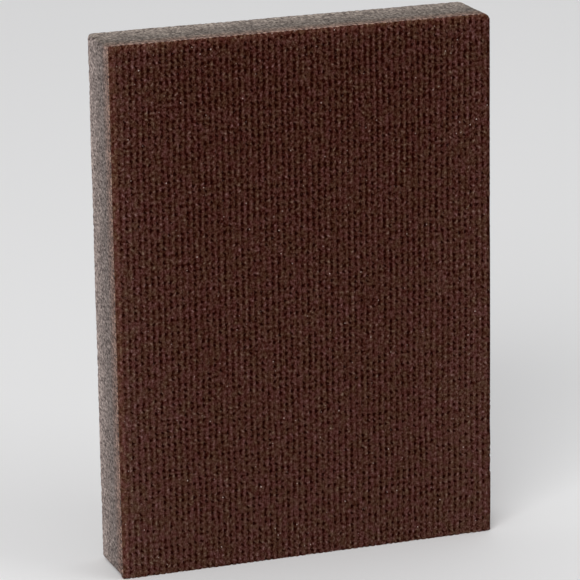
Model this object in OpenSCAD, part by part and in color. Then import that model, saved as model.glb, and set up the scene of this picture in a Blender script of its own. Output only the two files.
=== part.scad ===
// Hand sanding pad, standing on its short edge: a slab of soft open-cell foam with a ribbed knit
// cloth glued to one face, and the cloth coated with resin, abrasive grain and resin again.
// X runs across the pad, Y through its thickness with the abrasive face at the lowest Y, Z up.
// The origin is the centre of the pad's foot, so the pad stands on the plane z = 0.

/* [Pad] */
// Width of the pad, across the ribs of the knit
pad_w = 74.5; // [50:0.5:120]
// Height of the pad, along the ribs of the knit
pad_h = 102; // [60:0.5:180]
// Radius of the cloth's three corners that came off the cutter crisp
crisp_corner_r = 0.4; // [0.2:0.1:4]
// Radius of the top right corner, which is pressed rounder than the others
soft_corner_r = 1.2; // [0.5:0.1:6]

/* [Foam] */
// Thickness of the foam slab
foam_t = 12.1; // [5:0.1:30]
// Rounding of the foam's four free edges round its back face
back_edge_r = 0.4; // [0.2:0.1:2]
// Radius of the foam's own three corners, rounder because foam gives way under the cutter
foam_corner_r = 0.9; // [0.2:0.1:4]

/* [Glue] */
// Thickness of the glue film between the foam and the cloth
glue_t = 0.15; // [0.05:0.05:0.5]

/* [Knit cloth] */
// Distance from one rib of the knit to the next
wale_pitch = 1.17; // [0.8:0.01:2.4]
// Radius of a rib's rounded back
wale_r = 0.62; // [0.45:0.01:1.1]
// Thickness of the knit below the ribs' centre lines
ground_t = 0.3; // [0.1:0.05:1]

/* [Abrasive coats] */
// Thickness of the first resin coat, which grips the grain
make_t = 0.06; // [0.02:0.01:0.2]
// Thickness of the bed of abrasive grain
grain_t = 0.1; // [0.05:0.01:0.4]
// Thickness of the second resin coat, which locks the grain
size_t = 0.04; // [0.02:0.01:0.2]

/* [Hidden] */

// How far tools run past the faces that they cut
overrun = 1;
// Sides of a full circle where it is drawn as a preview
round_fn = 64;

// Thickness of the knit from the glue to the crests of its ribs
knit_t = ground_t + wale_r;
// Thickness of the pad from its back to the crests of its abrasive face
pad_t = foam_t + glue_t + knit_t + make_t + grain_t + size_t;
// Y of the pad's back face and of the foam face that carries the cloth
back_y = pad_t / 2;
foam_front_y = back_y - foam_t;
// Ribs on each side of the middle one, enough to reach past the pad's edges
side_wales = ceil(pad_w / 2 / wale_pitch) + 1;
// Width of sheet goods before the pad is cut from them
sheet_w = pad_w + 2 * overrun;

// What a rounding takes off a corner at the origin whose sides run along +X and +Y
module corner_waste(r) {
  difference() {
    translate([-overrun, -overrun]) square(r + overrun);
    translate([r, r]) circle(r = r, $fn = round_fn);
  }
}

// Outline that the cutter leaves, seen on the abrasive face, with r on its three plainer corners
module die_outline(r) {
  difference() {
    translate([-pad_w / 2, 0]) square([pad_w, pad_h]);
    translate([-pad_w / 2, 0]) corner_waste(r);
    translate([pad_w / 2, 0]) mirror([1, 0]) corner_waste(r);
    translate([-pad_w / 2, pad_h]) mirror([0, 1]) corner_waste(r);
    translate([pad_w / 2, pad_h]) mirror([1, 0]) mirror([0, 1]) corner_waste(soft_corner_r);
  }
}

// Cuts layers of the laminate to the pad's outline, straight through its thickness
module die_cut(r = crisp_corner_r) {
  intersection() {
    children();
    rotate([90, 0, 0]) linear_extrude(pad_t + 2 * overrun, center = true) die_outline(r);
  }
}

// Runs a section up the height of the pad: its X lies across the pad, and its Y counts
// outwards from the foam face that carries the cloth
module laid_on_foam() {
  translate([0, foam_front_y, 0]) mirror([0, 1, 0]) linear_extrude(pad_h) children();
}

// Section of the foam across one of its widths, with its two back corners eased
module foam_section(width) {
  difference() {
    translate([-width / 2, foam_front_y]) square([width, foam_t]);
    translate([-width / 2, back_y]) mirror([0, 1]) corner_waste(back_edge_r);
    translate([width / 2, back_y]) mirror([1, 0]) mirror([0, 1]) corner_waste(back_edge_r);
  }
}

// Section of the ribbed cloth from the glue up, grown outwards by the coats on it
module ribbed_section(coats_t) {
  intersection() {
    union() {
      translate([-sheet_w / 2, glue_t]) square([sheet_w, ground_t + coats_t]);
      for (wale = [-side_wales : side_wales])
        translate([wale * wale_pitch, glue_t + ground_t])
          circle(r = wale_r + coats_t, $fn = round_fn);
    }
    translate([-sheet_w / 2, glue_t]) square([sheet_w, knit_t + coats_t + overrun]);
  }
}

// One coat on the ribbed cloth, from the coats under it to its own outer face
module coat(under_t, own_t) {
  die_cut()
    laid_on_foam()
      difference() {
        ribbed_section(under_t + own_t);
        ribbed_section(under_t);
      }
}

module foam_core() {
  color("#7a6f6a")
    die_cut(foam_corner_r)
      intersection() {
        linear_extrude(pad_h) foam_section(pad_w);
        translate([0, 0, pad_h / 2]) rotate([90, 0, 90])
          linear_extrude(sheet_w, center = true)
            rotate(90) mirror([0, 1]) foam_section(pad_h);
      }
}

module glue_film() {
  color("#c9b9a6")
    die_cut()
      laid_on_foam()
        translate([-sheet_w / 2, 0]) square([sheet_w, glue_t]);
}

module knit_backing() {
  color("#7e675f")
    die_cut()
      laid_on_foam()
        ribbed_section(0);
}

module make_coat() {
  color("#5a3a2e") coat(0, make_t);
}

module abrasive_grain() {
  color("#3d231d") coat(make_t, grain_t);
}

module size_coat() {
  color("#4a2c25") coat(make_t + grain_t, size_t);
}

foam_core();
glue_film();
knit_backing();
make_coat();
abrasive_grain();
size_coat();
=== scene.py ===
import math
from itertools import product

import bmesh
import bpy
import numpy as np
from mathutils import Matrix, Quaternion, Vector


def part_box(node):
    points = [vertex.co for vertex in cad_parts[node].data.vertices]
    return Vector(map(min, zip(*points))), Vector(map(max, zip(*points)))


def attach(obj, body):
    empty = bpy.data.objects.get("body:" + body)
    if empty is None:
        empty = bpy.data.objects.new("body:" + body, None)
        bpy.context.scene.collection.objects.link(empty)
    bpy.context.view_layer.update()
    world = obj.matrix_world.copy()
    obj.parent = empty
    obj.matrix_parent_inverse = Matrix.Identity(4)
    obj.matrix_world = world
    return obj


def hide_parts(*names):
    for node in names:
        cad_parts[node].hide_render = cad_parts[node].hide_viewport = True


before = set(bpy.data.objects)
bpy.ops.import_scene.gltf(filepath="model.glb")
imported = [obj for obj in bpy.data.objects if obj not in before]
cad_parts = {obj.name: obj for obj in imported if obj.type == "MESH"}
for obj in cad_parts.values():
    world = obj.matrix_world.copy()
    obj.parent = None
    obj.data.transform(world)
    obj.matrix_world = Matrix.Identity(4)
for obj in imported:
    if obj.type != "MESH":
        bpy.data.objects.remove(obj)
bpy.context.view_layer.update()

# Camera: a long lens, a little to the left of the pad's face and above it.
# Its place and focal length follow from where the pad's corners lie in the square photograph.
mm = 0.001
view_azimuth = math.radians(-19.35)
view_elevation = math.radians(15.61)
view_roll = math.radians(-0.91)
view_distance = 721 * mm
view_aim = Vector((-0.84 * mm, 0, 50.80 * mm))
photo_side_px = 580
focal_length_px = 3823
film_width_mm = 36
nearest_seen = 10 * mm


def added(name, data):
    """A new object in the scene, made from a camera, a lamp or a mesh."""
    thing = bpy.data.objects.new(name, data)
    bpy.context.collection.objects.link(thing)
    return thing


camera_data = bpy.data.cameras.new("camera")
camera_data.sensor_width = film_width_mm
camera_data.lens = film_width_mm * focal_length_px / photo_side_px
camera_data.clip_start = nearest_seen
camera = added("camera", camera_data)
towards_camera = Vector((
    math.sin(view_azimuth) * math.cos(view_elevation),
    -math.cos(view_azimuth) * math.cos(view_elevation),
    math.sin(view_elevation),
))
camera.location = view_aim + towards_camera * view_distance
camera.rotation_mode = "QUATERNION"
level = (-towards_camera).to_track_quat("-Z", "Y")
camera.rotation_quaternion = level @ Quaternion((0, 0, 1), view_roll)
bpy.context.scene.camera = camera

# Studio: a plain pale floor that runs out to a pale surround, one large softbox in front and to the left,
# a weaker one to the right, and a faint one overhead for the pad's top edge.
bpy.context.scene.view_settings.view_transform = "Standard"
floor_radius = 4.0
floor_sides = 96
floor_colour = (0.86, 0.86, 0.86, 1)
floor_roughness = 0.85
surround_colour = (0.93, 0.93, 0.94, 1)
surround_strength = 0.62
pad_middle = Vector((0, 0, 0.05))

world = bpy.data.worlds.new("surround")
world.use_nodes = True
bpy.context.scene.world = world
background = world.node_tree.nodes["Background"]
background.inputs["Color"].default_value = surround_colour
background.inputs["Strength"].default_value = surround_strength

floor_mesh = bpy.data.meshes.new("floor")
floor_turns = [2 * math.pi * step / floor_sides for step in range(floor_sides)]
floor_rim = [(floor_radius * math.cos(turn), floor_radius * math.sin(turn), 0) for turn in floor_turns]
floor_mesh.from_pydata(floor_rim, [], [list(range(floor_sides))])
floor_paper = bpy.data.materials.new("pale_floor_paper")
floor_paper.use_nodes = True
paper = floor_paper.node_tree.nodes["Principled BSDF"]
paper.inputs["Base Color"].default_value = floor_colour
paper.inputs["Roughness"].default_value = floor_roughness
floor_mesh.materials.append(floor_paper)
floor = added("floor", floor_mesh)


def softbox(name, place, side, power):
    """A square lamp with soft light, aimed at the middle of the pad."""
    lamp = bpy.data.lights.new(name, "AREA")
    lamp.shape = "SQUARE"
    lamp.size = side
    lamp.energy = power
    box = added(name, lamp)
    box.location = place
    box.rotation_mode = "QUATERNION"
    box.rotation_quaternion = (pad_middle - Vector(place)).to_track_quat("-Z", "Y")
    box.visible_camera = False


softbox("key_softbox", place=(-0.92, -1.18, 0.95), side=0.9, power=15)
softbox("fill_softbox", place=(1.2, -1.0, 0.6), side=1.0, power=7)
softbox("overhead_softbox", place=(-0.2, 0.15, 1.5), side=1.0, power=0.7)

# Foam slab: soft grey open-cell polyurethane foam, sawn from a block, so its free faces are all cut cells.
# The cells run longer through the slab than across it. The foam is paler towards its back, tinted warm on top
# by painted warm light from above, and pale and warm in front, where the glue has soaked in. Painted shade
# darkens its cells' hollows.
foam_low, foam_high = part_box("foam_core")
pad_half_w = foam_high.x
pad_h = foam_high.z
foam_corner_r = 0.9 * mm
soft_corner_r = 1.2 * mm
foam_back_edge_r = 0.4 * mm
foam_grid = 0.37 * mm
foam_cell = 0.85 * mm
foam_cell_depth = 0.16 * mm
foam_wave = 0.06 * mm
foam_wave_length = 9 * mm
foam_stretch = 1.7
foam_spot = 0.469 * mm
foam_speck = (foam_spot, foam_spot * foam_stretch, foam_spot)
foam_wall_height = 0.12 * mm
foam_dark = (0.020, 0.010, 0.010)
foam_pale = (0.313, 0.258, 0.234)
wall_light = (0.68, 1.24)
cell_light = (1.10, 0.66)
front_to_back_light = (0.78, 1.46)
far_back_light = 0.32
glued_light = 1.16
soaked_depth = 3.3 * mm
soaked_tint = (1.25, 0.99, 0.89, 1)
glued_band = (foam_low.y + 0.4 * mm, foam_low.y + 1.8 * mm)
glued_band_stray = 7 * mm
painted_top_light_band = (pad_h - 0.6 * mm, pad_h - 0.25 * mm)
painted_top_light_tint = (0.975, 1.005, 0.95, 1)


def soft_noise(points, size, seed):
    """Smooth random values from -1 to 1 that change over about the given size."""
    count = 32
    table = np.random.default_rng(seed).uniform(-1, 1, (count, count, count))
    place = np.asarray(points) / size
    home = np.floor(place).astype(int)
    part = place - home
    part = part * part * (3 - 2 * part)
    total = np.zeros(len(place))
    for step in product((0, 1), repeat=3):
        share = np.prod(np.where(step, part, 1 - part), axis=1)
        i, j, k = ((home + step) % count).T
        total += share * table[i, j, k]
    return total


def cell_dimples(points, size, seed):
    """How deep each point lies in its nearest foam cell: 0 on the walls, up to 1 in the middle."""
    count = 32
    cell_reach = 0.62
    random = np.random.default_rng(seed)
    jitter = random.uniform(0.1, 0.9, (count, count, count, 3))
    opening = random.uniform(0.25, 1.0, (count, count, count))
    place = np.asarray(points) / size
    home = np.floor(place).astype(int)
    nearest = np.full(len(place), np.inf)
    open_by = np.zeros(len(place))
    for step in product((-1, 0, 1), repeat=3):
        cell = home + step
        i, j, k = (cell % count).T
        away = np.linalg.norm(place - cell - jitter[i, j, k], axis=1)
        closer = away < nearest
        nearest = np.where(closer, away, nearest)
        open_by = np.where(closer, opening[i, j, k], open_by)
    return open_by * np.clip(1 - (nearest / cell_reach) ** 2, 0, 1)


def onto_round(first, second):
    """The share of its way out that a point of a square corner keeps, so that it lies on a quarter round."""
    never_zero = 1e-12
    return np.maximum(first, second) / np.maximum(np.hypot(first, second), never_zero)


def pad_corner(side, up, radius):
    """Radius and centre of the corner that lies to that side and that way up. The top right one is softer."""
    if side > 0 and up > 0:
        radius = soft_corner_r
    return radius, side * (pad_half_w - radius), pad_h - radius if up > 0 else radius


def rounded_corners(x, z):
    """Moves points of the plain rectangle into the foam's outline with its four rounded corners."""
    for side, up in product((-1, 1), repeat=2):
        _, centre_x, centre_z = pad_corner(side, up, foam_corner_r)
        out_x = np.clip((x - centre_x) * side, 0, None)
        out_z = np.clip((z - centre_z) * up, 0, None)
        inside = (out_x > 0) & (out_z > 0)
        pull = onto_round(out_x, out_z)
        x = np.where(inside, centre_x + side * out_x * pull, x)
        z = np.where(inside, centre_z + up * out_z * pull, z)
    return x, z


def foam_lattice():
    """Points and quads of the foam's five free faces, and the rim of its glued face."""
    nx, ny, nz = (round(span / foam_grid) for span in foam_high - foam_low)
    index, places, quads = {}, [], []

    def corner(i, j, k):
        if (i, j, k) not in index:
            index[i, j, k] = len(places)
            places.append((i / nx, j / ny, k / nz))
        return index[i, j, k]

    def quad(*steps):
        quads.append([corner(*step) for step in steps])

    for i, k in product(range(nx), range(nz)):
        quad((i, ny, k), (i, ny, k + 1), (i + 1, ny, k + 1), (i + 1, ny, k))
    for j in range(ny):
        for k in range(nz):
            quad((0, j, k), (0, j, k + 1), (0, j + 1, k + 1), (0, j + 1, k))
            quad((nx, j, k), (nx, j + 1, k), (nx, j + 1, k + 1), (nx, j, k + 1))
        for i in range(nx):
            quad((i, j, 0), (i, j + 1, 0), (i + 1, j + 1, 0), (i + 1, j, 0))
            quad((i, j, nz), (i + 1, j, nz), (i + 1, j + 1, nz), (i, j + 1, nz))
    glued = [corner(i, 0, 0) for i in range(nx)] + [corner(nx, 0, k) for k in range(nz)]
    glued += [corner(i, 0, nz) for i in range(nx, 0, -1)] + [corner(0, 0, k) for k in range(nz, 0, -1)]
    return np.array(places), quads, glued


def mesh_values(items, name, width=1, kind=np.float32):
    """The named number or vector of each item of a mesh, as rows of an array."""
    values = np.zeros(len(items) * width, kind)
    items.foreach_get(name, values)
    return values.reshape(-1, width)


def carry(mesh, name, values):
    """Gives each point of a mesh a value of its own, which a material can read by its name."""
    values = np.asarray(values, np.float32).ravel()
    mesh.attributes.new(name, "FLOAT", "POINT").data.foreach_set("value", values)


shares, foam_quads, glued_rim = foam_lattice()
x, y, z = (np.array(foam_low) + shares * (np.array(foam_high) - np.array(foam_low))).T
# Eases the four back edges: what is near both a side and the back moves onto a quarter round
near_back = np.clip(y - (foam_high.y - foam_back_edge_r), 0, None)
side_x = np.clip(foam_back_edge_r - (pad_half_w - np.abs(x)), 0, None)
side_z = np.clip(foam_back_edge_r - np.minimum(z, pad_h - z), 0, None)
near_side = np.maximum(side_x, side_z)
eased = (near_back > 0) & (near_side > 0)
pull = np.where(eased, onto_round(near_back, near_side), 1)
y = np.where(eased, foam_high.y - foam_back_edge_r + near_back * pull, y)
x = x - np.sign(x) * side_x * (1 - pull)
z = z + np.where(z < pad_h / 2, 1, -1) * side_z * (1 - pull)
x, z = rounded_corners(x, z)
places = np.c_[x, y, z]

foam_mesh = bpy.data.meshes.new("foam_slab")
foam_mesh.from_pydata(places.tolist(), [], foam_quads + [glued_rim])
foam_mesh.update()
outward = mesh_values(foam_mesh.vertices, "normal", 3)
free = np.ones(len(places))
free[glued_rim] = 0
dimple = cell_dimples(places * (1, 1 / foam_stretch, 1), foam_cell, seed=11) * free
wave = soft_noise(places, foam_wave_length, seed=12) * free
inward = foam_cell_depth * dimple + foam_wave * (1 - wave) / 2
places = places - outward * inward[:, None]
places[:, 2] = np.maximum(places[:, 2], 0)
foam_mesh.vertices.foreach_set("co", places.astype(np.float32).ravel())
carry(foam_mesh, "cell_depth", dimple)
foam_mesh.shade_smooth()
foam_mesh.update()


def new_finish(name):
    """A new material with its nodes, links and shader, and the node that tells places on the piece."""
    material = bpy.data.materials.new(name)
    material.use_nodes = True
    tree = material.node_tree
    place_node = tree.nodes.new("ShaderNodeTexCoord")
    return material, tree.nodes, tree.links, tree.nodes["Principled BSDF"], place_node


# The helpers below add their nodes to whichever material was begun last
grey_foam, nodes, links, shader, where = new_finish("grey_open_cell_foam")


def feed(socket, value):
    """Joins a socket to another one, or sets it to a plain number or colour."""
    if isinstance(value, bpy.types.NodeSocket):
        links.new(value, socket)
    else:
        socket.default_value = value


def work(operation, first, second=0.0):
    """One step of arithmetic in a material; each input is a socket or a plain number."""
    step = nodes.new("ShaderNodeMath")
    step.operation = operation
    feed(step.inputs[0], first)
    feed(step.inputs[1], second)
    return step.outputs["Value"]


def fade(value, span, result, smooth=False):
    """Goes from one result to the other while the value crosses the span, and holds steady outside it."""
    change = nodes.new("ShaderNodeMapRange")
    change.interpolation_type = "SMOOTHSTEP" if smooth else "LINEAR"
    feed(change.inputs["Value"], value)
    for name, number in zip(("From Min", "From Max", "To Min", "To Max"), (*span, *result)):
        change.inputs[name].default_value = number
    return change.outputs["Result"]


def tones(value, *stops):
    """Colour that follows the value through the given stops of place and colour."""
    ramp = nodes.new("ShaderNodeValToRGB")
    marks = ramp.color_ramp.elements
    while len(marks) < len(stops):
        marks.new(0.5)
    for mark, (position, colour) in zip(marks, stops):
        mark.position = position
        mark.color = (*colour, 1)
    feed(ramp.inputs["Fac"], value)
    return ramp.outputs["Color"]


def tinted(colour, tint, share=1.0):
    """A colour multiplied by a tint or a light, as far as the share says."""
    first_colour, second_colour, mixed_colour = 6, 7, 2
    mix = nodes.new("ShaderNodeMix")
    mix.data_type = "RGBA"
    mix.blend_type = "MULTIPLY"
    mix.clamp_factor = True
    feed(mix.inputs["Factor"], share)
    feed(mix.inputs[first_colour], colour)
    feed(mix.inputs[second_colour], tint)
    return mix.outputs[mixed_colour]


def place_on_piece():
    """How far across, through and up the pad a spot lies."""
    parts = nodes.new("ShaderNodeSeparateXYZ")
    links.new(where.outputs["Object"], parts.inputs["Vector"])
    return parts.outputs["X"], parts.outputs["Y"], parts.outputs["Z"]


def in_spots(across, through, up):
    """Places on the piece, measured in spots of the given width, depth and height."""
    scaled = nodes.new("ShaderNodeMapping")
    scaled.inputs["Scale"].default_value = (1 / across, 1 / through, 1 / up)
    links.new(where.outputs["Object"], scaled.inputs["Vector"])
    return scaled.outputs["Vector"]


def noise(spot, detail=1, rough=0.5):
    """Random grey from 0 to 1 in spots of the given width, depth and height."""
    cloud = nodes.new("ShaderNodeTexNoise")
    cloud.inputs["Scale"].default_value = 1
    cloud.inputs["Detail"].default_value = detail
    cloud.inputs["Roughness"].default_value = rough
    links.new(in_spots(*spot), cloud.inputs["Vector"])
    return cloud.outputs["Fac"]


def own_value(name):
    """A value that the mesh carries at each of its points."""
    source = nodes.new("ShaderNodeAttribute")
    source.attribute_name = name
    return source.outputs["Fac"]


def bumped(height, strength, distance):
    """Small bumps of the surface that are too fine for the mesh."""
    bump = nodes.new("ShaderNodeBump")
    bump.inputs["Strength"].default_value = strength
    bump.inputs["Distance"].default_value = distance
    links.new(height, bump.inputs["Height"])
    return bump.outputs["Normal"]


def foam_mottle():
    """The foam's light and dark specks, which run on over the cut edges of the glue and the cloth."""
    return noise(foam_speck, detail=2, rough=0.6)


fine_cells = nodes.new("ShaderNodeTexVoronoi")
fine_cells.inputs["Scale"].default_value = 1
links.new(in_spots(*foam_speck), fine_cells.inputs["Vector"])
cell_wall = fine_cells.outputs["Distance"]
mottle = foam_mottle()
_, through, up = place_on_piece()
foam_tone = tones(mottle, (0.25, foam_dark), (0.75, foam_pale))
# Painted shade: the foam is darker in the hollows of its cells and lighter on their walls, and darkest where
# the cells dip deepest
painted_cell_wall_light = fade(cell_wall, (0.15, 0.75), wall_light)
painted_cell_shade = fade(own_value("cell_depth"), (0, 1), cell_light)
even_rise = fade(through, (foam_low.y, foam_high.y), front_to_back_light)
late_rise = fade(through, (0, foam_high.y), (0, far_back_light))
paler_back = work("ADD", even_rise, late_rise)
foam_tone = tinted(foam_tone, work("MULTIPLY", work("MULTIPLY", painted_cell_wall_light, painted_cell_shade), paler_back))
stray = work("MULTIPLY", work("SUBTRACT", mottle, 0.5), glued_band_stray)
foam_tone = tinted(foam_tone, fade(work("SUBTRACT", through, stray), glued_band, (glued_light, 1)))
# Painted warm light from above: the top of the foam is tinted warmer
foam_tone = tinted(foam_tone, painted_top_light_tint, share=fade(up, painted_top_light_band, (0, 1)))
soaked = fade(through, (foam_low.y, foam_low.y + soaked_depth), (1, 0))
feed(shader.inputs["Base Color"], tinted(foam_tone, soaked_tint, share=soaked))
feed(shader.inputs["Normal"], bumped(cell_wall, strength=0.7, distance=foam_wall_height))
shader.inputs["Roughness"].default_value = 0.95
shader.inputs["Specular IOR Level"].default_value = 0.2
foam_mesh.materials.append(grey_foam)

foam_slab = added("foam_slab", foam_mesh)
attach(foam_slab, "root")
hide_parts("foam_core")

# Glue film: a thin layer of laminating glue between the foam and the knit.
# It was spread hot and squeezed flat, so its cut edge is slightly uneven and shows as a pale thread.
glue_low, glue_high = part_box("glue_film")
crisp_corner_r = 0.4 * mm
glue_edge_step = 0.4 * mm
glue_uneven = 0.07 * mm
glue_uneven_length = 1.1 * mm
glue_set_back = 0.4 * glue_uneven
glue_edge_r = 0.06 * mm
glue_edge_profile = ((0, 1), (0.25, 0), (0.75, 0), (1, 1))
glue_dark = (0.070, 0.026, 0.016)
glue_pale = (0.282, 0.180, 0.146)


def outline_loop(step):
    """Points round the pad's outline at about the given step, and the outward direction at each."""
    points, ways = [], []
    for quarter, (side, up) in enumerate(((1, -1), (1, 1), (-1, 1), (-1, -1))):
        radius, centre_x, centre_z = pad_corner(side, up, crisp_corner_r)
        turns = max(3, math.ceil(radius * math.pi / 2 / step))
        for turn in range(turns + 1):
            angle = math.radians(90 * quarter - 90 + 90 * turn / turns)
            way = (math.cos(angle), math.sin(angle))
            points.append((centre_x + radius * way[0], centre_z + radius * way[1]))
            ways.append(way)
    filled, turned = [], []
    for here, there, way_a, way_b in zip(points, points[1:] + points[:1], ways, ways[1:] + ways[:1]):
        pieces = max(1, round(math.dist(here, there) / step))
        for piece in range(pieces):
            share = piece / pieces
            filled.append([here[n] + share * (there[n] - here[n]) for n in (0, 1)])
            turned.append([way_a[n] + share * (way_b[n] - way_a[n]) for n in (0, 1)])
    turned = np.array(turned)
    return np.array(filled), turned / np.linalg.norm(turned, axis=1)[:, None]


def flat_points(x, z):
    """Points of the outline or the face laid in one plane, for random values that run along it."""
    return np.c_[x.ravel(), np.zeros(x.size), z.ravel()]


def edge_ring(line, way, out, y):
    """A ring of points at depth y: the outline moved outwards by a distance, but not into the floor."""
    moved = line + np.broadcast_to(out, len(line))[:, None] * way
    return np.c_[moved[:, 0], np.broadcast_to(y, len(line)), np.maximum(moved[:, 1], 0)]


def sheet_from_rings(name, rings):
    """A closed sheet: rings of points in order from its back to its front, capped at both ends."""
    count = len(rings[0])
    quads = []
    for ring, n in product(range(len(rings) - 1), range(count)):
        after = (n + 1) % count
        low, high = ring * count, (ring + 1) * count
        quads.append([low + n, high + n, high + after, low + after])
    first = list(range(count))
    last = [(len(rings) - 1) * count + n for n in reversed(range(count))]
    mesh = bpy.data.meshes.new(name)
    mesh.from_pydata(np.concatenate(rings).tolist(), [], [first] + quads + [last])
    mesh.shade_smooth()
    mesh.update()
    return mesh


glue_line, glue_way = outline_loop(glue_edge_step)
glue_points = flat_points(glue_line[:, 0], glue_line[:, 1])
uneven = glue_uneven * soft_noise(glue_points, glue_uneven_length, seed=21)
glue_rings = []
for share, pulled_in in glue_edge_profile:
    out = uneven - glue_edge_r * pulled_in - glue_set_back
    ring_y = glue_high.y + share * (glue_low.y - glue_high.y)
    glue_rings.append(edge_ring(glue_line, glue_way, out, ring_y))
glue_mesh = sheet_from_rings("glue_film", glue_rings)

dried_glue, nodes, links, shader, where = new_finish("dried_laminating_glue")
clouds = foam_mottle()
feed(shader.inputs["Base Color"], tones(clouds, (0.40, glue_dark), (0.60, glue_pale)))
feed(shader.inputs["Roughness"], fade(clouds, (0.3, 0.7), (0.65, 0.4)))
shader.inputs["Specular IOR Level"].default_value = 0.2
glue_mesh.materials.append(dried_glue)

glue_film = added("glue_film_edge", glue_mesh)
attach(glue_film, "root")
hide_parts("glue_film")

# Knit cloth: a warm beige polyester knit, laid on the glue and cut with the foam, so only its edge shows.
# Along the top and foot that edge cuts across the ribs, and up the sides it runs along a column of loops.
knit_low, knit_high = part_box("knit_backing")
crest_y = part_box("size_coat")[0].y
wale_pitch = 1.17 * mm
course_pitch = 1.255 * mm
course_rise = 0.0588
rib_depth = 0.24 * mm
rib_roundness = 0.8
coats_thickness = 0.2 * mm
knit_edge_step = 0.2 * mm
knit_lump = 0.07 * mm
knit_set_back = 0.9
loop_lump = 0.4
knit_bulge = ((0, -0.5), (0.15, 0.2), (0.4, 0.9), (0.65, 0.9), (0.9, 0.3), (1, -0.2))
yarn_end = 0.5
yarn_end_length = 0.35 * mm
yarn_fold = 0.4
yarn_fold_length = 0.5 * mm
yarn_height = 0.05 * mm
loop_contrast = 0.09
side_loop_light = 0.15
side_shade = 0.35
yarn_dark = (0.036, 0.012, 0.007)
yarn_pale = (0.368, 0.224, 0.168)
cap_inset = 0.45 * mm
cap_depth = 0.4 * (knit_high.y - knit_low.y)


def rib_drop(x):
    """How far the face lies below the crests of the ribs at x, without its stitches."""
    from_crest = np.abs((x / wale_pitch + 0.5) % 1 - 0.5) * 2
    fallen = 1 - np.sqrt(np.clip(1 - rib_roundness * from_crest ** 2, 0, 1))
    return rib_depth * fallen / (1 - math.sqrt(1 - rib_roundness))


def course_number(x, z):
    """Which course of loops a point lies in, counted up the pad. The courses rise a little to the right."""
    return (z - course_rise * x) / course_pitch


edge, edge_way = outline_loop(knit_edge_step)
edge_points = flat_points(edge[:, 0], edge[:, 1])
crosswise = np.abs(edge_way[:, 1])
across_ribs = np.cos(2 * np.pi * edge[:, 0] / wale_pitch)
along_loops = np.cos(2 * np.pi * course_number(edge[:, 0], edge[:, 1]))
lumps = crosswise * across_ribs + (1 - crosswise) * along_loops
yarn_ends = soft_noise(edge_points, yarn_end_length, seed=31)
knit_front = crest_y + rib_drop(edge[:, 0]) + coats_thickness
knit_rings = []
for share, bulge in knit_bulge:
    yarn_folds = soft_noise(edge_points + (0, share * mm, 0), yarn_fold_length, seed=32)
    swollen = bulge * (1 - loop_lump + loop_lump * lumps)
    out = knit_lump * (swollen - knit_set_back + yarn_end * yarn_ends + yarn_fold * yarn_folds)
    ring_y = knit_high.y + share * (knit_front - knit_high.y)
    knit_rings.append(edge_ring(edge, edge_way, out, ring_y))
knit_rings.append(edge_ring(edge, edge_way, -cap_inset, knit_high.y - cap_depth))
knit_mesh = sheet_from_rings("knit_cloth", knit_rings)
# Painted light and shade on the cut edge of the knit: lighter on its bulging loops, darker between them and
# along the sides
up_the_sides = side_loop_light * along_loops - side_shade
loop_light = crosswise * across_ribs + (1 - crosswise) * up_the_sides
carry(knit_mesh, "loops", np.tile(loop_light, len(knit_rings)))

beige_knit, nodes, links, shader, where = new_finish("beige_polyester_knit")
yarn = foam_mottle()
yarn_light = work("ADD", yarn, work("MULTIPLY", own_value("loops"), loop_contrast))
feed(shader.inputs["Base Color"], tones(yarn_light, (0.40, yarn_dark), (0.60, yarn_pale)))
feed(shader.inputs["Normal"], bumped(yarn, strength=0.5, distance=yarn_height))
shader.inputs["Roughness"].default_value = 0.9
shader.inputs["Specular IOR Level"].default_value = 0.2
shader.inputs["Sheen Weight"].default_value = 0.1
knit_mesh.materials.append(beige_knit)

knit_cloth = added("knit_cloth", knit_mesh)
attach(knit_cloth, "root")
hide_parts("knit_backing")

# Resin face: the brown make and size coats, cured into one skin over the ribs and loops of the knit.
# Between the ribs it sinks into the gaps of the loops, so each stitch leaves a pit, darkened by painted
# shade. Its cut rim is chipped, and paler along the left and top. The pits fade towards the sides and foot,
# and painted light from the pale floor makes the face paler towards its foot.
pit_depth = 0.34 * mm
pit_mean = 0.37
pit_spread = 0.95
pit_patchiness = 0.12
pit_ends = 0.2
patch_stitches = 2.2
patch_stretch = 0.6
groove_reach = 0.3
loop_swell = 0.05 * mm
loop_ends = 0.3
next_loop_from = 0.45
stitch_lean = 0.42
stray_across = 0.07 * mm
stray_up = 0.26 * mm
wale_wander = 0.10 * mm
wander_length = 8 * mm
wander_scale = (0.5, 1, 1)
loop_tug = 0.10 * mm
loop_tug_length = 1.1 * mm
loop_tug_scale = (1, 1, 0.4)
skin_rough = 0.018 * mm
skin_rough_length = 0.23 * mm
worn_rim = 1.4 * mm
worn_pit = 0.25
rubbed_w = 9 * mm
rubbed_pit = 0.55
edge_chip = 0.15 * mm
edge_chip_length = 0.33 * mm
chip_mean = 0.3
crest_chip = 0.18
side_chip = 0.2
least_wall = 0.05 * mm
lip_y = crest_y + 0.75 * mm
corner_cuts = 4
trim_gap = 0.0001 * mm
weld_gap = 0.001 * mm
rib_columns = (0.0, 0.20, 0.36, 0.5, 0.64, 0.80)
course_rows = (0.24, 0.50, 0.76)
random = np.random.default_rng(41)

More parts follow.
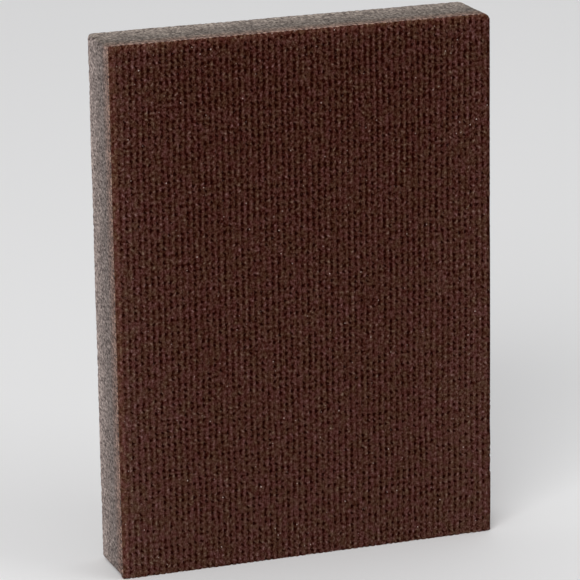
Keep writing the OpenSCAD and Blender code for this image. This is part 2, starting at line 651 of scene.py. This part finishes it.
# Six columns of points to a rib and three rows to a course, a little past the pad's outline all round
first_wale = math.floor(-pad_half_w / wale_pitch) - 1
last_wale = math.ceil(pad_half_w / wale_pitch) + 1
first_course = math.floor(course_number(pad_half_w, 0)) - 2
last_course = math.ceil(course_number(-pad_half_w, pad_h)) + 2
wales = np.arange(first_wale, last_wale)
courses = np.arange(first_course, last_course)
columns = (wales[:, None] + np.array(rib_columns)).ravel()
rows = (courses[:, None] + np.array(course_rows)).ravel()
u, v = np.meshgrid(columns, rows)
wale_n = np.floor(u).astype(int) - first_wale
course_n = np.floor(v).astype(int) - first_course
in_wale = u % 1
in_course = v % 1

# How wide open each stitch's pit is, how far it strays and how proud the loop beside it stands
stitches = (len(wales) + 1, len(courses))
stitch_places = np.c_[wale_n.ravel(), course_n.ravel() * patch_stretch, np.zeros(u.size)]
patchy = soft_noise(stitch_places, patch_stitches, seed=42).reshape(u.shape)
own = random.uniform(-1, 1, stitches)[wale_n, course_n]
opened = np.clip(pit_mean + pit_spread * own + pit_patchiness * patchy, 0.0, 1.0)
off_across, off_up = random.uniform(-1, 1, (2, *stitches))[:, wale_n, course_n]
loop_n = wale_n + (in_wale > next_loop_from)
loop_head = random.uniform(0, 1, stitches)[loop_n, course_n] ** 2

# The ribs with their pits and loop heads, and then the wander of ribs and stitches
x = u * wale_pitch
z = v * course_pitch + course_rise * x
spots = flat_points(x, z)
groove = np.clip(1 - np.abs(in_wale - 0.5) / groove_reach, 0, 1)
crest = 1 - np.abs(((in_wale + 0.5) % 1) - 0.5) * 2
middle_row = np.isclose(in_course, 0.5)
off_rim = np.minimum(x + pad_half_w, pad_h - z)
off_cut = np.minimum(pad_half_w - np.abs(x), z)
rubbed = np.clip(rubbed_pit + (1 - rubbed_pit) * off_cut / rubbed_w, rubbed_pit, 1)
worn = np.clip(off_rim / worn_rim, worn_pit, 1)
pit = np.where(middle_row, groove, pit_ends * groove ** 2) * opened * rubbed * worn
swell = np.where(middle_row, 1.0, loop_ends) * crest * loop_head
rough = soft_noise(spots, skin_rough_length, seed=43).reshape(x.shape)
drop = rib_drop(x) + pit_depth * pit - loop_swell * swell + skin_rough * rough
y = crest_y + (drop - drop.min())
lean = -stitch_lean * (in_course - 0.5) * course_pitch
wander = wale_wander * soft_noise(spots * wander_scale, wander_length, seed=44).reshape(x.shape)
tug = loop_tug * soft_noise(spots * loop_tug_scale, loop_tug_length, seed=46).reshape(x.shape)
x = x + (lean + stray_across * off_across) * groove + wander
z = z + stray_up * off_up * groove + tug

numbers = np.arange(x.size).reshape(x.shape)
around = (numbers[:-1, :-1], numbers[:-1, 1:], numbers[1:, 1:], numbers[1:, :-1])
face_quads = np.stack(around, -1).reshape(-1, 4)
face_mesh = bpy.data.meshes.new("resin_face")
face_mesh.from_pydata(np.c_[x.ravel(), y.ravel(), z.ravel()].tolist(), [], face_quads.tolist())
carry(face_mesh, "wale", u)
carry(face_mesh, "course", v)
carry(face_mesh, "opened", opened)
carry(face_mesh, "crest", crest)
carry(face_mesh, "loop_head", loop_head)

cut = bmesh.new()
cut.from_mesh(face_mesh)


def trim(point, way):
    """Cuts the face straight through at a point of the pad's outline and drops what lies outside."""
    bmesh.ops.bisect_plane(
        cut,
        geom=cut.verts[:] + cut.edges[:] + cut.faces[:],
        plane_co=(point[0], 0, point[1]),
        plane_no=(way[0], 0, way[1]),
        clear_outer=True,
        dist=trim_gap,
    )


def points_of(parts):
    """The points among the parts that a mesh tool hands back."""
    return [part for part in parts if isinstance(part, bmesh.types.BMVert)]


# Cuts the face to the pad's outline, with each rounded corner as a few straight cuts
trim((-pad_half_w, 0), (-1, 0))
trim((pad_half_w, 0), (1, 0))
trim((0, 0), (0, -1))
trim((0, pad_h), (0, 1))
for up, side in product((-1, 1), repeat=2):
    radius, centre_x, centre_z = pad_corner(side, up, crisp_corner_r)
    for n in range(1, corner_cuts + 1):
        angle = math.pi / 2 * n / (corner_cuts + 1)
        way = (side * math.cos(angle), up * math.sin(angle))
        trim((centre_x + radius * way[0], centre_z + radius * way[1]), way)

# Chips the rim, most on the crests of the ribs, and leaves it sharp
rim_edges = [line for line in cut.edges if line.is_boundary]
for line in rim_edges:
    line.smooth = False
rim_points = list(dict.fromkeys(point for line in rim_edges for point in line.verts))
rim_places = np.array([point.co for point in rim_points])
bitten = np.clip(soft_noise(rim_places * (1, 0, 1), edge_chip_length, seed=47) + chip_mean, 0, None)
on_crest = np.clip(np.cos(2 * np.pi * rim_places[:, 0] / wale_pitch), 0, None)
cut_across = np.abs(rim_places[:, 0]) < pad_half_w - cap_inset
chips = edge_chip * (bitten + np.where(cut_across, crest_chip * on_crest, side_chip))
for point, chip in zip(rim_points, chips):
    if abs(point.co.x) > pad_half_w - cap_inset:
        point.co.x -= math.copysign(chip, point.co.x)
    if not cap_inset < point.co.z < pad_h - cap_inset:
        point.co.z -= math.copysign(chip, point.co.z - pad_h / 2)

# Closes the skin: a wall down to the knit, a lip turned in under it, and a flat back
walls = bmesh.ops.extrude_edge_only(cut, edges=rim_edges)["geom"]
for point in points_of(walls):
    knit_top = crest_y + rib_drop(point.co.x) + coats_thickness
    point.co.y = max(knit_top, point.co.y + least_wall)
foot_edges = [part for part in walls if isinstance(part, bmesh.types.BMEdge) and part.is_boundary]
lip_points = points_of(bmesh.ops.extrude_edge_only(cut, edges=foot_edges)["geom"])
for point in lip_points:
    point.co.x = max(-pad_half_w + cap_inset, min(pad_half_w - cap_inset, point.co.x))
    point.co.z = max(cap_inset, min(pad_h - cap_inset, point.co.z))
    point.co.y = lip_y
bmesh.ops.remove_doubles(cut, verts=lip_points, dist=weld_gap)
bmesh.ops.holes_fill(cut, edges=[line for line in cut.edges if line.is_boundary], sides=0)
bmesh.ops.recalc_face_normals(cut, faces=cut.faces[:])
for face in cut.faces:
    face.smooth = True
cut.to_mesh(face_mesh)
cut.free()
face_mesh.update()

# Colours of the resin: tone is 0 in the painted shade of a pit and 1 where the face is palest
pit_half_w = 0.27 * mm / wale_pitch
pit_half_h = 0.32 * mm / course_pitch
head_half_w = 0.30 * mm / wale_pitch
blotch_size = (0.60 * mm, 0.60 * mm, 0.62 * mm)
grit_size = (0.30 * mm, 0.30 * mm, 0.30 * mm)
grit_height = 0.05 * mm
cast_size = (1.5 * mm, 1.5 * mm, 1.5 * mm)
pink_cast = (1.01, 0.95, 1.09)
olive_cast = (0.91, 1.09, 0.91)
pale_sides_from = 21 * mm
rim_streak_w = 1.1 * mm
rim_tint_w = 2 * mm
rim_faint_rib_light_w = 3 * mm
rim_glow_w = 5 * mm
rim_tint = (1.06, 0.92, 0.79, 1)
rib_contrast = 0.10
rim_rib_contrast = 0.03
head_contrast = 0.42
blotch_contrast = 1.65
grit_contrast = 1.2
pit_contrast = 0.85
rim_pit_contrast = 0.10
pale_sides = 0.085
rim_streak = 0.22
rim_glow = 0.10
painted_floor_light_at_foot = 0.175
painted_floor_light_tone = 1.2
plain_tone = 0.29
resin_tones = (
    (0.0, (0.0140, 0.0014, 0.0004)),
    (0.2, (0.0310, 0.0066, 0.0034)),
    (0.4, (0.0505, 0.0163, 0.0108)),
    (0.6, (0.0710, 0.0286, 0.0213)),
    (0.8, (0.0985, 0.0462, 0.0368)),
    (1.0, (0.1500, 0.0830, 0.0710)),
)
brown_resin, nodes, links, shader, where = new_finish("brown_cured_resin")
course = own_value("course")


def swing(half_turns, start, reach):
    """How far the stitches swing to the side from course to course, in shares of a rib."""
    angle = work("MULTIPLY", work("ADD", course, start), half_turns * math.pi)
    return work("MULTIPLY", work("COSINE", angle), reach)


def near(across, half_across, up, half_up, fading):
    """1 in the middle of an oval spot and 0 outside it, with a soft rim between."""
    off = work("POWER", work("DIVIDE", across, half_across), 2)
    away = work("SQRT", work("ADD", off, work("POWER", work("DIVIDE", up, half_up), 2)))
    return fade(away, fading, (1, 0), smooth=True)


slow_swing = swing(half_turns=1, start=1.334, reach=0.045)
quick_swing = swing(half_turns=3, start=0, reach=0.07)
swayed = work("SUBTRACT", own_value("wale"), work("ADD", slow_swing, quick_swing))
off_groove = work("SUBTRACT", work("FRACT", swayed), 0.5)
off_crest = work("SUBTRACT", work("FRACT", work("ADD", swayed, 0.5)), 0.5)
off_middle = work("SUBTRACT", work("FRACT", course), 0.5)
pit_spot = near(off_groove, pit_half_w, off_middle, pit_half_h, fading=(0.62, 1.15))
head_spot = near(off_crest, head_half_w, off_middle, pit_half_h, fading=(0.2, 1.2))
across, _, up = place_on_piece()
from_middle = work("ABSOLUTE", across)
from_rim = work("MINIMUM", work("ADD", across, pad_half_w), work("SUBTRACT", pad_h, up))
from_cut = work("MINIMUM", work("SUBTRACT", pad_half_w, from_middle), up)
grit = noise(grit_size)

# Painted light and shade: lighter on the crests of the ribs, darker in the grooves, and a painted highlight
# on each proud loop head
rib_wave = work("COSINE", work("MULTIPLY", off_crest, 2 * math.pi))
rib_light = work("MULTIPLY", rib_wave, fade(from_rim, (0, rim_faint_rib_light_w), (rim_rib_contrast, rib_contrast)))
head_light = work("MULTIPLY", work("MULTIPLY", head_spot, own_value("loop_head")), head_contrast)
blotch_light = work("MULTIPLY", work("SUBTRACT", noise(blotch_size), 0.5), blotch_contrast)
grit_light = work("MULTIPLY", work("SUBTRACT", grit, 0.5), grit_contrast)
# Painted shade in the pits, weaker near the left and top rim and towards the sides and foot, where the pits
# are shallower
worn_pits = fade(from_rim, (0, worn_rim), (rim_pit_contrast, pit_contrast))
rubbed_pits = fade(from_cut, (0, rubbed_w), (rubbed_pit, 1))
in_pit = work("MULTIPLY", pit_spot, own_value("opened"))
pit_shade = work("MULTIPLY", in_pit, work("MULTIPLY", worn_pits, rubbed_pits))
side_light = fade(from_middle, (pale_sides_from, pad_half_w), (0, pale_sides))
streak_light = fade(from_rim, (0, rim_streak_w), (rim_streak, 0))
glow_light = fade(from_rim, (0, rim_glow_w), (rim_glow, 0))
tone = plain_tone
for light in (rib_light, head_light, blotch_light, grit_light):
    tone = work("ADD", tone, light)
tone = work("SUBTRACT", tone, pit_shade)
for light in (side_light, streak_light, glow_light):
    tone = work("ADD", tone, light)
# Painted light from the pale floor: the face is paler towards its foot
painted_floor_light = fade(up, (0, pad_h), (painted_floor_light_at_foot, 0))
tone = work("ADD", tone, work("MULTIPLY", painted_floor_light, work("SUBTRACT", painted_floor_light_tone, tone)))

resin_tone = tones(tone, *resin_tones)
resin_tone = tinted(resin_tone, rim_tint, share=fade(from_rim, (0, rim_tint_w), (1, 0)))
cast = tones(noise(cast_size), (0.32, pink_cast), (0.68, olive_cast))
feed(shader.inputs["Base Color"], tinted(resin_tone, cast))
feed(shader.inputs["Roughness"], fade(grit, (0.3, 0.7), (0.8, 0.45)))
feed(shader.inputs["Normal"], bumped(grit, strength=0.6, distance=grit_height))
shader.inputs["Specular IOR Level"].default_value = 0.01
face_mesh.materials.append(brown_resin)

resin_face = added("resin_face", face_mesh)
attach(resin_face, "root")
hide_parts("make_coat", "size_coat")

# Abrasive grains: crushed brown grains that stand proud of the resin, mostly on the ribs.
# Each is a sharp, uneven lump, sunk about half way into the make coat and wetted by the size coat.
# A few are larger and coloured pale, as a painted glint.
grain_count = 15000
grain_size = (0.05 * mm, 0.10 * mm)
grain_uneven = (0.6, 1.35)
pale_from = 0.985
pale_growth = 1.8
groove_share = 0.25
front_facing = 0.5
lip_margin = 0.1 * mm
grain_dark = (0.030, 0.009, 0.006)
grain_brown = (0.075, 0.032, 0.024)
grain_glint = (0.46, 0.35, 0.31)
lump = np.array([(1, 0, 0), (-1, 0, 0), (0, 1, 0), (0, -1, 0), (0, 0, 1), (0, 0, -1)], float)
lump_faces = np.array([
    (0, 2, 4), (2, 1, 4), (1, 3, 4), (3, 0, 4),
    (2, 0, 5), (1, 2, 5), (3, 1, 5), (0, 3, 5),
])
random = np.random.default_rng(51)

# Seats of the grains: random spots on the front of the resin, more of them on the crests than in the grooves
face_points = mesh_values(face_mesh.vertices, "co", 3)
face_mesh.calc_loop_triangles()
triangles = mesh_values(face_mesh.loop_triangles, "vertices", 3, np.int32)
on_rib = mesh_values(face_mesh.attributes["crest"].data, "value")[:, 0]
a, b, c = (face_points[triangles[:, n]] for n in range(3))
normal = np.cross(b - a, c - a)
area = np.linalg.norm(normal, axis=1)
faces_front = normal[:, 1] < -front_facing * area
above_lip = (a[:, 1] + b[:, 1] + c[:, 1]) / 3 < lip_y - lip_margin
weight = np.where(faces_front & above_lip, area * (groove_share + on_rib[triangles].mean(1)), 0)
chosen = random.choice(len(triangles), grain_count, p=weight / weight.sum())
share_b, share_c = random.random((2, grain_count))
beyond = share_b + share_c > 1
share_b = np.where(beyond, 1 - share_b, share_b)
share_c = np.where(beyond, 1 - share_c, share_c)
seat = a[chosen] + share_b[:, None] * (b - a)[chosen] + share_c[:, None] * (c - a)[chosen]
seat[:, 0] = np.clip(seat[:, 0], -pad_half_w + grain_size[1], pad_half_w - grain_size[1])
seat[:, 2] = np.clip(seat[:, 2], grain_size[1], pad_h - grain_size[1])

# Each grain: a lump with eight faces, turned at random, whose six points stand out unevenly
turn = random.normal(size=(grain_count, 4))
turn /= np.linalg.norm(turn, axis=1)[:, None]
w, p, q, r = turn.T
spin = np.stack([
    np.stack([1 - 2 * (q * q + r * r), 2 * (p * q - w * r), 2 * (p * r + w * q)], -1),
    np.stack([2 * (p * q + w * r), 1 - 2 * (p * p + r * r), 2 * (q * r - w * p)], -1),
    np.stack([2 * (p * r - w * q), 2 * (q * r + w * p), 1 - 2 * (p * p + q * q)], -1),
], 1)
glint = random.random(grain_count)
size = random.uniform(*grain_size, grain_count) * np.where(glint > pale_from, pale_growth, 1)
stretch = random.uniform(*grain_uneven, (grain_count, len(lump), 1))
shape = lump[None] * stretch * size[:, None, None]
grains = np.einsum("nij,nkj->nki", spin, shape) + seat[:, None]
grain_faces = (lump_faces[None] + len(lump) * np.arange(grain_count)[:, None, None]).reshape(-1, 3)
grain_mesh = bpy.data.meshes.new("abrasive_grains")
grain_mesh.from_pydata(grains.reshape(-1, 3).tolist(), [], grain_faces.tolist())
carry(grain_mesh, "glint", np.repeat(glint, len(lump)))
grain_mesh.update()

crushed_grain, nodes, links, shader, where = new_finish("crushed_brown_grain")
# Painted glint: the few larger grains are coloured pale, as if they caught the light
grain_tone = tones(own_value("glint"), (0.0, grain_dark), (pale_from, grain_brown), (1.0, grain_glint))
feed(shader.inputs["Base Color"], grain_tone)
shader.inputs["Roughness"].default_value = 0.4
shader.inputs["Specular IOR Level"].default_value = 0.3
grain_mesh.materials.append(crushed_grain)

abrasive_grains = added("abrasive_grains", grain_mesh)
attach(abrasive_grains, "root")
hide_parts("abrasive_grain")
